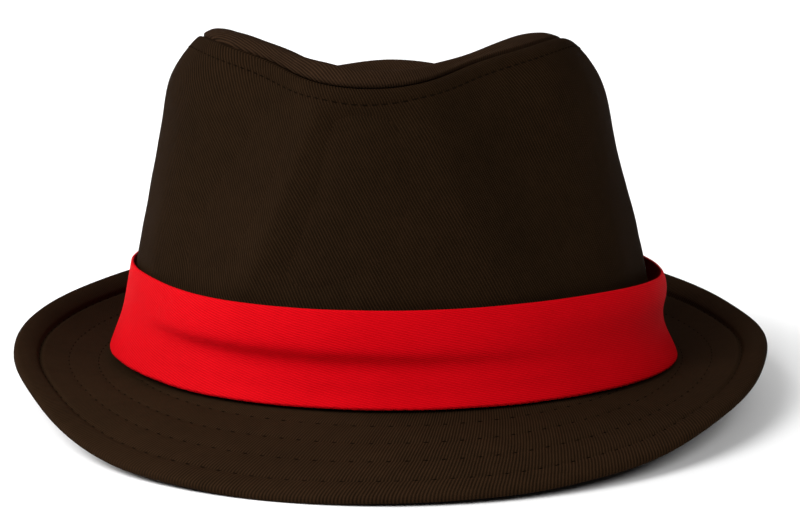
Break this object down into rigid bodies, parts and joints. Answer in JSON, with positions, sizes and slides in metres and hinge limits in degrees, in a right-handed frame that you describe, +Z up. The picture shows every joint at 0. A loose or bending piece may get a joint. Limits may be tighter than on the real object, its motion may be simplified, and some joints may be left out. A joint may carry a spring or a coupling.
{
  "type": "fedora",
  "caption": "Cloth fedora with a pinched and dented crown, a row-stitched brim that dips in front and curls up behind, and a plain wide hatband.",
  "frame": {"origin": "bottom centre of the hat's bounding box, on the surface that the hat rests on", "axes": "+Z up from that surface, -Y to the front of the hat, +X to the right of somebody who faces its front"},
  "size_m": [0.2352, 0.2818, 0.1149],
  "materials": {
    "black_brown_twill": "matt cotton twill",
    "red_twill": "soft fine cotton twill"
  },
  "bodies": {
    "root": {"crown_side": "black_brown_twill", "crown_tip": "black_brown_twill", "brim": "black_brown_twill", "hatband": "red_twill"}
  },
  "joints": []
}
